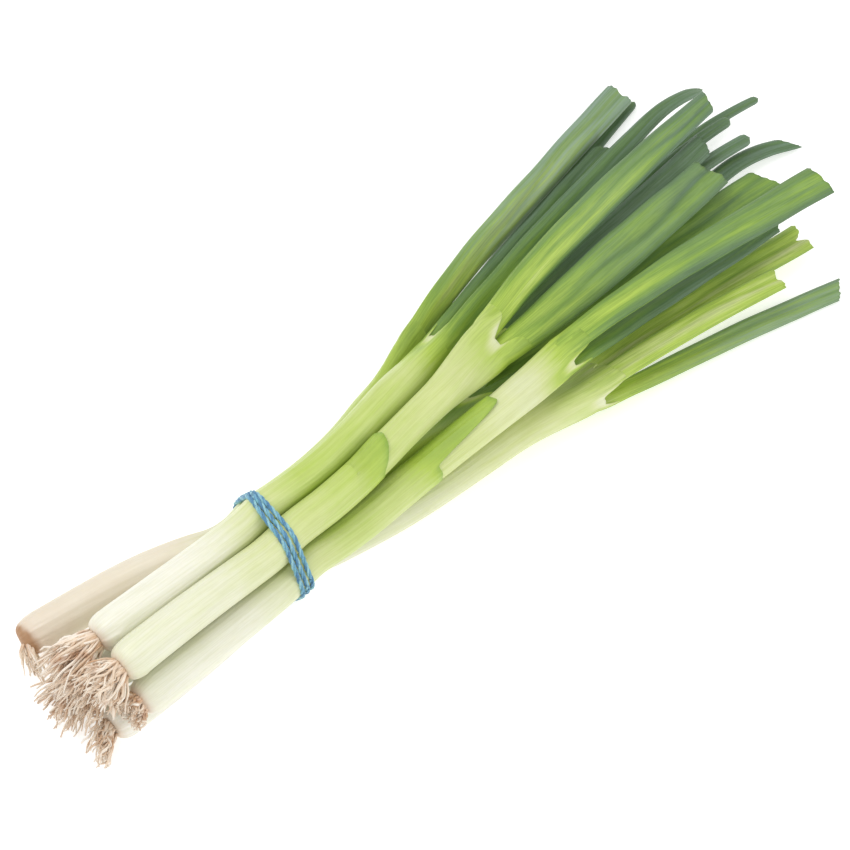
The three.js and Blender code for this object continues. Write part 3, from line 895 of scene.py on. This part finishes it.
def leaf_section(crease, places):
    """Unit outline of a leaf: x = cos and y = sin * |sin|^0.3, which thins it towards its edges,
    with the upper face pulled down along the crease. Returns both parts, rows x columns.
    """
    wide = np.cos(ANGLES)[None] * np.ones((len(crease), 1))
    thick = np.sin(ANGLES)[None] * np.ones((len(crease), 1))
    valley = np.exp(-(((wide - places[:, None]) / 0.42) ** 2))
    lens = thick * np.abs(thick) ** 0.3
    return wide, lens - 1.3 * crease[:, None] * valley * ease(0, 0.5, thick)


def leaf_shade(look, crease, places, t, edge):
    """Place on the shade scale over a leaf, t being the share of its length, rows x columns.

    It runs from base to tip, is darker towards the edges, shifts along the leaf's bands, and is
    darker down the crease, which is painted shade where the fold lies in shadow.
    """
    base, middle, tip = look["shade"]
    shade = np.interp(t, [0, 0.12, 0.5, 1], [base, base + 0.35 * (middle - base), middle, tip])
    across = np.cos(ANGLES)[None]
    shade = shade + edge * (across**2 - 0.45) * ease(0.02, 0.25, t)
    face = ease(-0.1, 0.3, np.sin(ANGLES))[None] * ease(0.03, 0.2, t)
    for place, half, shift, until in look.get("bands", ()):
        profile = np.exp(-(((across - place) / half) ** 2))
        shade = shade + shift * profile * face * (1 - ease(until - 0.3, until, t))
    # Painted shade down the crease, where the fold lies in shadow.
    valley = np.exp(-(((across - places[:, None]) / 0.16) ** 2))
    return shade + 0.3 * crease[:, None] * valley * face


def make_leaf(name, route, settings, material):
    """A leaf: the CAD's flattened tube with ribs, a crease, a slow sway and a shaped tip.

    A cut tip has a wall's thickness, and the skin turns back inside it.
    """
    look = LEAVES[name]
    seed = list(LEAVES).index(name)
    rng = np.random.default_rng(300 + seed)
    start, end = route.x[0] + LEAF_START, route.x[-1] + look.get("longer", 0) * MM
    x = np.linspace(start, end, int((end - start) / (1.3 * MM)))
    t = (x - route.x[TUCKED]) / (end - route.x[TUCKED])
    centre, spread, slope = route.at(x)
    values, vectors = np.linalg.eigh(spread)
    half_wide, half_thick = np.sqrt(values[:, 1]), np.sqrt(values[:, 0])
    way = vectors[:, :, 1]
    way = way * np.sign(way[:, :1])
    free = ease(0.0, 0.15, t)
    half_wide = half_wide * (1 + free * waves(rng, x, [0.08, 0.03], 0.012))
    half_thick = half_thick * (1 + free * waves(rng, x, [0.05, 0.02], 0.05))
    sway = [waves(rng, x, lengths, 0.12 * MM) for lengths in ([0.07, 0.03], [0.05])]
    centre = centre + np.stack(sway, -1) * free[:, None]
    crease = look["crease"] * free * (0.5 + 0.5 * ease(0.2, 0.9, t))
    places = waves(rng, x, [0.12, 0.06], 0.25)
    wide, thick = leaf_section(crease, places)
    rib = 1 + ribs(rng, x, settings.rib) * free[:, None]

    rows = np.arange(len(x))
    if "slant" in look:
        back = rows[:-INSIDE_ROWS:-2]
        inset = np.concatenate([0.0 * rows, [0.5], np.ones(len(back))]) * settings.wall * MM
        rows = np.concatenate([rows, rows[-1:], back])
        half_wide = np.maximum(half_wide[rows] - inset, THINNEST[0])
        half_thick = np.maximum(half_thick[rows] - inset, THINNEST[1])
    else:
        left = np.clip((end - x) / (look["point"] * MM), 0, 1)
        closing = np.maximum((1 - (1 - left) ** 2) ** look.get("blunt", 0.5), 0.03)
        half_wide, half_thick = half_wide * closing, half_thick * closing
    wide = (wide * rib)[rows] * half_wide[:, None]
    thick = (thick * rib)[rows] * half_thick[:, None]
    x, centre, slope, way, crease, places = (
        part[rows] for part in (x, centre, slope, way, crease, places)
    )
    over = np.stack([-way[:, 1], way[:, 0]], -1)
    grid = np.empty((*wide.shape, 3))
    grid[..., 0] = x[:, None]
    grid[..., 1:] = centre[:, None] + wide[..., None] * way[:, None]
    grid[..., 1:] += thick[..., None] * over[:, None]
    near_end = ease(end - 0.022, end, x)[:, None]
    slide = squaring(grid, centre, slope) * near_end
    if "slant" in look:
        across = np.cos(ANGLES)
        ragged = waves(rng, ANGLES, [TAU / 3, TAU / 8, TAU / 13], 0.5 * MM)
        notch = look.get("notch", 0) * MM * np.exp(-((across / 0.22) ** 2))
        slide = slide + near_end * (0.5 * look["slant"] * MM * across + ragged - notch)
    grid = slid(grid, slope, slide)
    grid[..., 2] = np.maximum(grid[..., 2], 0.3 * MM)

    t = (grid[..., 0] - route.x[TUCKED]) / (end - route.x[TUCKED])
    attributes = {
        "shade": leaf_shade(look, crease, places, t, settings.edge),
        "skin": skin_attribute(x[:, None], seed + 10),
        "bloom": look["bloom"] * ease(0.1, 0.6, t),
        "leafy": np.ones(t.shape),
        # Painted shade between and under strands.
        "nook": painted_nook_shade(grid, name),
    }
    finish_piece(skin_object(name + "_skin", grid, attributes), name, material)


# --- Pieces: roots -------------------------------------------------------------------------

# Each tuft: how many rootlets, how long against the CAD tuft, how wide it fans, how straight it
# leaves the plate before it bends, and how far it droops.
TUFTS = {
    "onion_1": (50, 0.75, 0.3, 0.15, 0.2),
    "onion_2": (200, 1.05, 0.3, 0.2, 0.75),
    "onion_3": (190, 0.9, 0.6, 0.6, 0.2),
    "onion_4": (120, 0.75, 0.6, 0.6, 0.2),
    "onion_5": (60, 0.85, 0.05, 0.1, 0.1),
    "onion_6": (180, 1.35, 0.6, 0.5, 0.2),
    "onion_7": (180, 1.35, 0.6, 0.5, 0.2),
}
ROOTLET_POINTS = 12
ROOTLET_SIDES = 5


def unit(vectors):
    """Vectors brought to length 1."""
    return vectors / np.linalg.norm(vectors, axis=-1, keepdims=True)


def make_roots(onion, settings, material):
    """A tuft of rootlets.

    Each starts on the root plate, leaves it outwards and bends towards the CAD tuft's own lean:
    place = start + length * (t * leaving + t^2 / 2 * (bend - leaving)) + a curl that grows with t.
    """
    rng = np.random.default_rng(700 + ONIONS.index(onion))
    planes = planes_of(node_points(onion + "_roots"))
    tip, plate = (np.array([p[0, 0], *p[:, 1:].mean(0)]) for p in (planes[0], planes[-1]))
    reach = np.linalg.norm(tip - plate)
    lean = (tip - plate) / reach
    route = stem_route(onion)
    _, spread, slope = route.at(route.x[:1])
    normal = unit(-np.array([1, *slope[0]]))
    side = unit(np.cross(normal, [0, 0, 1.0]))
    up = np.cross(side, normal)
    count, longer, fan, straight, droop = TUFTS[onion]
    n = int(count * settings.count)
    radius = 0.55 * np.sqrt(np.sqrt(np.linalg.det(spread[0])))
    out = radius * np.sqrt(rng.uniform(0.02, 1, n))
    turn = rng.uniform(0, TAU, n)
    radial = np.cos(turn)[:, None] * side + np.sin(turn)[:, None] * up
    start = plate + radial * out[:, None] + normal * 0.1 * MM
    leaving = straight * normal + (1 - straight) * lean
    leaving = unit(leaving + radial * (out / radius * fan)[:, None] + rng.normal(0, 0.2, (n, 3)))
    bend = lean + radial * fan * 0.5 + rng.normal(0, 0.2, (n, 3))
    bend = unit(bend - np.array([0, 0, droop]))
    length = reach * longer * rng.uniform(0.55, 1.15, n)
    t = np.linspace(0, 1, ROOTLET_POINTS)[None, :, None]
    path = start[:, None] + length[:, None, None] * (
        t * leaving[:, None] + 0.5 * t**2 * (bend - leaving)[:, None]
    )
    curl = rng.uniform(0.4, 1.5, (n, 1, 1)) * settings.curl * MM
    pace = rng.uniform(0.6, 2.2, (n, 1, 1))
    phase = rng.uniform(0, TAU, (n, 1, 1))
    path = path + curl * t * (
        np.sin(TAU * pace * t + phase) * side + np.cos(TAU * pace * t + 1.3 * phase) * up
    )
    thick = rng.uniform(0.6, 1.1, (n, 1)) * settings.thickness * MM / 2
    radii = thick * (1 - 0.5 * t[..., 0] ** 2)
    path[..., 2] = np.maximum(path[..., 2], radii + 0.2 * MM)
    tone = np.repeat(rng.uniform(0, 1, (n, 1)), ROOTLET_POINTS, 1)
    attributes = {"tone": tone, "reach": np.repeat(t[..., 0], n, 0)}
    tuft = tubes_object(onion + "_roots_tuft", path, radii, ROOTLET_SIDES, attributes)
    finish_piece(tuft, onion + "_roots", material)


def root_nodes(base):
    """Dry rootlets: cream to tan from strand to strand, browner at the plate, pale at the tips."""
    place = base.node("ShaderNodeTexCoord", None, None, 3)
    grain = place.noise(1400, 3, 0.6)
    reach = attribute(base, "reach")
    tone = attribute(base, "tone") * 0.9 + 0.25 * (grain - 0.5)
    colour = tone.ramp([(0, (252, 244, 232)), (0.5, (244, 226, 204)), (1, (208, 172, 138))])
    colour = colour.mix((198, 148, 104), place.noise(130, 2, 0.5).between(0.52, 0.66) * 0.65)
    colour = colour.mix((216, 174, 134), (1 - reach.between(0.0, 0.3)) * 0.4)
    colour = colour.mix((240, 228, 212), reach.between(0.6, 1.0) * 0.4)
    rough = 0.75 + 0.15 * (grain - 0.5)
    return {"Base Color": colour, "Roughness": rough, "Normal": grain.bump(0.4, 0.2 * MM)}


# --- Pieces: tie ---------------------------------------------------------------------------

TIE_START = -120  # degrees round the bunch at which the twine begins, underneath
CROWDED = 30  # degrees at which its turns lie closest and ride up on each other
PLIES = 3
TURN_POINTS = 260
PLY_SIDES = 10


def make_tie(settings, material):
    """One twine wound round the stems, made of plies that twist about its line.

    The line follows the tight wrapping of the CAD band, steps sideways a little each turn, and
    rides up where turns crowd together.
    """
    rng = np.random.default_rng(900)
    points = node_points("tie")
    middle = TIE_CENTRE[1:]
    support = ((points[:, 1:] - middle) @ NORMAL_RAY.T).max(0) - 1.2 * MM
    twine = settings.twine * MM
    count = int(settings.turns * TURN_POINTS)
    turn = np.linspace(0, settings.turns * TAU, count) + np.radians(TIE_START)
    wrap = radial_of_support(support, NORMALS)
    reach = np.interp(turn % TAU, np.append(NORMALS, TAU), np.append(wrap, wrap[0]))
    crowd = np.exp(-(((turn - np.radians(CROWDED + 180)) % TAU - np.pi) / 0.7) ** 2)
    share = (turn - turn[0]) / (turn[-1] - turn[0]) * 2 - 1
    sideways = share * settings.spread * MM * (1 - 0.6 * crowd)
    sideways = sideways + waves(rng, turn, [TAU * 0.8, TAU * 0.37], 0.25 * MM)
    ends = 1 - ease(0, 0.35, np.minimum(turn - turn[0], turn[-1] - turn))
    ride = reach - settings.sink * MM + twine / 2
    ride = ride + 0.35 * MM * crowd * (1 - share**2) - 1.2 * MM * ends
    high_side = points[points[:, 1] > middle[0]].mean(0)
    lean = (high_side[0] - TIE_CENTRE[0]) / (high_side[1] - middle[0])
    outward = np.stack([np.zeros(count), np.cos(turn), np.sin(turn)], -1)
    line = TIE_CENTRE + ride[:, None] * outward
    line[:, 0] += sideways + lean * ride * np.cos(turn)
    length = np.concatenate([[0], np.cumsum(np.linalg.norm(np.diff(line, axis=0), axis=1))])
    across = np.cross(unit(np.gradient(line, axis=0)), outward)
    ply = np.arange(PLIES)[:, None]
    phase = TAU * (length / (settings.pitch * MM))[None] + TAU * ply / PLIES
    path = line[None] + 0.28 * twine * (
        np.cos(phase)[..., None] * outward + np.sin(phase)[..., None] * across
    )
    radii = np.full((PLIES, count), 0.27 * twine)
    radii[:, [0, -1]] *= 0.4
    tone = np.repeat(ply / (PLIES - 1), count, 1)
    twisted = tubes_object("tie_twine", path, radii, PLY_SIDES, {"tone": tone})
    finish_piece(twisted, "tie", material)


def twine_nodes(base):
    """Blue twine: plies of slightly different blue, with pale flecks and darker fibres."""
    place = base.node("ShaderNodeTexCoord", None, None, 3)
    fleck = place.noise(420, 3, 0.65)
    fibre = place.noise(1700, 2, 0.6)
    plies = [(0, (84, 138, 176)), (0.5, (112, 170, 198)), (1, (148, 200, 212))]
    colour = attribute(base, "tone").ramp(plies)
    colour = colour.mix((136, 202, 200), fleck.between(0.52, 0.72) * 0.6)
    colour = colour.mix((44, 92, 132), (1 - fleck.between(0.3, 0.46)) * 0.6)
    colour = colour.mix((40, 84, 122), fibre.between(0.5, 0.7) * 0.35)
    rough = 0.6 + 0.2 * (fibre - 0.5)
    return {"Base Color": colour, "Roughness": rough, "Normal": fibre.bump(0.5, 0.2 * MM)}


# --- Settings ------------------------------------------------------------------------------


def number(name, about, default, **more):
    """A number that a user may change."""
    return FloatProperty(name=name, description=about, default=default, **more)


def millimetres(name, about, default):
    """A small length, kept in millimetres."""
    return number(name, about + ", in millimetres", default)


def factor(name, about, default):
    """A strength or a place on a scale, from 0 to 1."""
    return number(name, about, default, subtype="FACTOR")


def tint(name, about, *colour):
    """A display colour, given from 0 to 255."""
    default = [part / 255 for part in colour]
    return FloatVectorProperty(
        name=name, description=about, default=default, min=0, max=1, subtype="COLOR_GAMMA"
    )


class StemSettings(bpy.types.PropertyGroup):
    wall: millimetres("Sheath", "Thickness of a sheath's wall", 0.45)
    tongue: millimetres("Tongue", "How far a sheath runs up its leaves", 12)
    web: millimetres("Web", "Widest gap a sheath bridges", 3.4)
    membrane: factor("Membrane", "Place on the shade scale of the web between leaves", 0.22)
    lift: millimetres("Lift", "How far a sheath stands off its leaves", 0.18)
    rib: millimetres("Ribs", "Height of the lengthwise ridges", 0.05)
    stain: factor("Stain", "How brown the outermost stem is near its roots", 0.38)
    mouth_green: factor("Mouth shade", "Place on the shade scale of a mouth's edge", 0.51)
    mouth_rim: factor("Rim shade", "How much darker a mouth's rim is on the shade scale", 0.1)
    band_shift: factor("Bands", "How far lengthwise bands shift the shade", 0.10)
    vein_strength: factor("Veins", "How strong the veins are", 0.35)
    vein_colour: tint("Vein tint", "Colour of the veins", 234, 234, 218)
    vein_depth: factor("Vein depth", "Height of the veins in the bump", 0.5)
    roughness: factor("Roughness", "How dull the skin is", 0.38)


class LeafSettings(bpy.types.PropertyGroup):
    edge: factor("Edge shade", "How much darker the edges are on the shade scale", 0.15)
    wall: millimetres("Wall", "Thickness of a leaf's wall", 0.5)
    rib: number("Ribs", "Height of the ribs, as a share of the leaf's size", 0.008)
    band_shift: factor("Bands", "How far lengthwise bands shift the shade", 0.22)
    vein_strength: factor("Veins", "How strong the veins are", 0.45)
    vein_colour: tint("Vein tint", "Colour of the veins", 184, 200, 160)
    vein_depth: factor("Vein depth", "Height of the veins in the bump", 0.8)
    bloom_colour: tint("Bloom", "Colour of the wax bloom", 146, 168, 150)
    roughness: factor("Roughness", "How dull the skin is", 0.46)


class RootSettings(bpy.types.PropertyGroup):
    count: number("Rootlets", "How many rootlets, against the usual number", 1.0, min=0.05)
    thickness: millimetres("Thickness", "Thickness of a rootlet", 1.15)
    curl: millimetres("Curl", "How far a rootlet curls", 1.2)


class TieSettings(bpy.types.PropertyGroup):
    turns: number("Turns", "Turns of the twine", 3, min=1)
    twine: millimetres("Twine", "Thickness of the twine", 1.6)
    spread: millimetres("Spread", "Half the width of the windings", 3.4)
    sink: millimetres("Sink", "How far the twine bites into the stems", 0.7)
    pitch: millimetres("Pitch", "Length of one twist of the plies", 8)


class StageSettings(bpy.types.PropertyGroup):
    lens: number("Lens", "Focal length, in millimetres", 122.8, subtype="DISTANCE_CAMERA")
    azimuth: number("Azimuth", "Camera's turn round the bunch", np.radians(-49), subtype="ANGLE")
    elevation: number("Elevation", "Camera's tilt downwards", np.radians(55), subtype="ANGLE")
    distance: number("Distance", "From the camera to the bunch", 1.0, unit="LENGTH")
    sky: number("Sky", "Strength of the even light", 0.7)
    key: number("Key", "Power of the main soft light", 3.85)


# --- Operators -----------------------------------------------------------------------------

# Emission Strength gives stems and leaves a faint glow in their own colour: painted light that
# lifts their shadows.
STEM_FINISH_AND_GLOW = {
    "Subsurface Weight": 0.18,
    "Subsurface Scale": 0.003,
    "Subsurface Radius": (1.0, 0.9, 0.6),
    "Coat Weight": 0.12,
    "Coat Roughness": 0.35,
    "Emission Strength": 0.09,
}
LEAF_FINISH_AND_GLOW = {
    "Subsurface Weight": 0.06,
    "Subsurface Scale": 0.002,
    "Subsurface Radius": (0.6, 1.0, 0.3),
    "Coat Weight": 0.1,
    "Coat Roughness": 0.4,
    "Emission Strength": 0.09,
}
FLOOR_FINISH = {
    "Roughness": 0.9,
    "Base Color": (0.75, 0.75, 0.75, 1),
    "Emission Color": (1, 1, 1, 1),
    "Emission Strength": 0.52,
}
FLOOR_HALF = 1.6
VIEW_SHIFT = Vector((-0.0214, 0.0073, -0.0007))  # where the camera looks, from the middle


def living_skin(name, finish_and_glow, scene):
    """Skin shared by stems and leaves, with a stem's or a leaf's constants and painted glow."""
    return new_material(
        name, finish_and_glow, lambda base: skin_nodes(base, scene.onion_stems, scene.onion_leaves)
    )


class ONIONS_OT_stems(bpy.types.Operator):
    """Build the white stems, their sheath mouths and the inner stems"""

    bl_idname = "onions.stems"
    bl_label = "Stems"

    def execute(self, context):
        skin = living_skin("stem_skin", STEM_FINISH_AND_GLOW, context.scene)
        for onion in ONIONS:
            make_stem(onion, context.scene.onion_stems, skin)
        for onion in MOUTHS:
            make_inner_stem(onion, context.scene.onion_stems, skin)
        return {"FINISHED"}


class ONIONS_OT_leaves(bpy.types.Operator):
    """Build the leaves, hollow where they are cut"""

    bl_idname = "onions.leaves"
    bl_label = "Leaves"

    def execute(self, context):
        skin = living_skin("leaf_skin", LEAF_FINISH_AND_GLOW, context.scene)
        for onion in ONIONS:
            for name, route in leaf_routes(onion).items():
                make_leaf(name, route, context.scene.onion_leaves, skin)
        return {"FINISHED"}


class ONIONS_OT_roots(bpy.types.Operator):
    """Build the root tufts"""

    bl_idname = "onions.roots"
    bl_label = "Roots"

    def execute(self, context):
        dry = new_material("rootlets", {}, root_nodes)
        for onion in ONIONS:
            make_roots(onion, context.scene.onion_roots, dry)
        return {"FINISHED"}


class ONIONS_OT_tie(bpy.types.Operator):
    """Wind the twine round the stems"""

    bl_idname = "onions.tie"
    bl_label = "Tie"

    def execute(self, context):
        twine = new_material("twine", {"Sheen Weight": 0.2}, twine_nodes)
        make_tie(context.scene.onion_tie, twine)
        return {"FINISHED"}


class ONIONS_OT_stage(bpy.types.Operator):
    """Set out the floor, the lights and the camera"""

    bl_idname = "onions.stage"
    bl_label = "Stage"

    def execute(self, context):
        settings = context.scene.onion_stage
        scene = context.scene
        corners = np.array([[-1, -1, 0], [1, -1, 0], [1, 1, 0], [-1, 1, 0]], float) * FLOOR_HALF
        floor = make_mesh("floor", corners, np.array([[0, 1, 2, 3]]), np.zeros((0, 3), int), {})
        floor.data.materials.append(new_material("floor_paint", FLOOR_FINISH, lambda base: {}))
        world = bpy.data.worlds.new("studio")
        world.use_nodes = True
        back = world.node_tree.nodes["Background"]
        back.inputs["Color"].default_value = (1, 1, 1, 1)
        back.inputs["Strength"].default_value = settings.sky
        scene.world = world
        low, high = CAD_BOX
        middle = (low + high) / 2 + VIEW_SHIFT
        self.soft_light("key", Vector((-0.25, 0.35, 0.9)), middle, settings.key, 0.7)
        self.soft_light("fill", Vector((0.35, -0.7, 0.6)), middle, settings.key * 0.6, 0.9)
        az, el = settings.azimuth, settings.elevation
        away = Vector((np.sin(az) * np.cos(el), -np.cos(az) * np.cos(el), np.sin(el)))
        data = bpy.data.cameras.new("camera")
        data.lens, data.sensor_width, data.clip_start = settings.lens, 36, 0.05
        camera = bpy.data.objects.new("camera", data)
        scene.collection.objects.link(camera)
        camera.location = middle + away * settings.distance
        camera.rotation_euler = away.to_track_quat("Z", "Y").to_euler()
        scene.camera = camera
        scene.view_settings.view_transform = "Standard"
        return {"FINISHED"}

    def soft_light(self, name, away, middle, power, size):
        """A square area light that stands away from the middle and faces it."""
        data = bpy.data.lights.new(name, "AREA")
        data.energy, data.size = power, size
        lamp = bpy.data.objects.new(name, data)
        turn = away.to_track_quat("Z", "Y").to_matrix().to_4x4()
        lamp.matrix_world = Matrix.Translation(middle + away) @ turn
        bpy.context.scene.collection.objects.link(lamp)


class ONIONS_PT_panel(bpy.types.Panel):
    """The bunch's steps and settings"""

    bl_idname = "ONIONS_PT_panel"
    bl_label = "Spring onion bunch"
    bl_space_type = "VIEW_3D"
    bl_region_type = "UI"
    bl_category = "Onions"

    def draw(self, context):
        for operator, pointer in STEPS:
            box = self.layout.box()
            box.operator(operator)
            settings = getattr(context.scene, pointer)
            for key in settings.__annotations__:
                box.prop(settings, key)


STEPS = [
    ("onions.stems", "onion_stems"),
    ("onions.leaves", "onion_leaves"),
    ("onions.roots", "onion_roots"),
    ("onions.tie", "onion_tie"),
    ("onions.stage", "onion_stage"),
]
GROUPS = [StemSettings, LeafSettings, RootSettings, TieSettings, StageSettings]
CLASSES = GROUPS + [
    ONIONS_OT_stems,
    ONIONS_OT_leaves,
    ONIONS_OT_roots,
    ONIONS_OT_tie,
    ONIONS_OT_stage,
    ONIONS_PT_panel,
]


def register():
    for cls in CLASSES:
        bpy.utils.register_class(cls)
    for (_, pointer), group in zip(STEPS, GROUPS):
        setattr(bpy.types.Scene, pointer, PointerProperty(type=group))


def unregister():
    for _, pointer in STEPS:
        delattr(bpy.types.Scene, pointer)
    for cls in reversed(CLASSES):
        bpy.utils.unregister_class(cls)


def main():
    register()
    bpy.ops.onions.stems()
    bpy.ops.onions.leaves()
    bpy.ops.onions.roots()
    bpy.ops.onions.tie()
    bpy.ops.onions.stage()


if __name__ == "__main__":
    main()
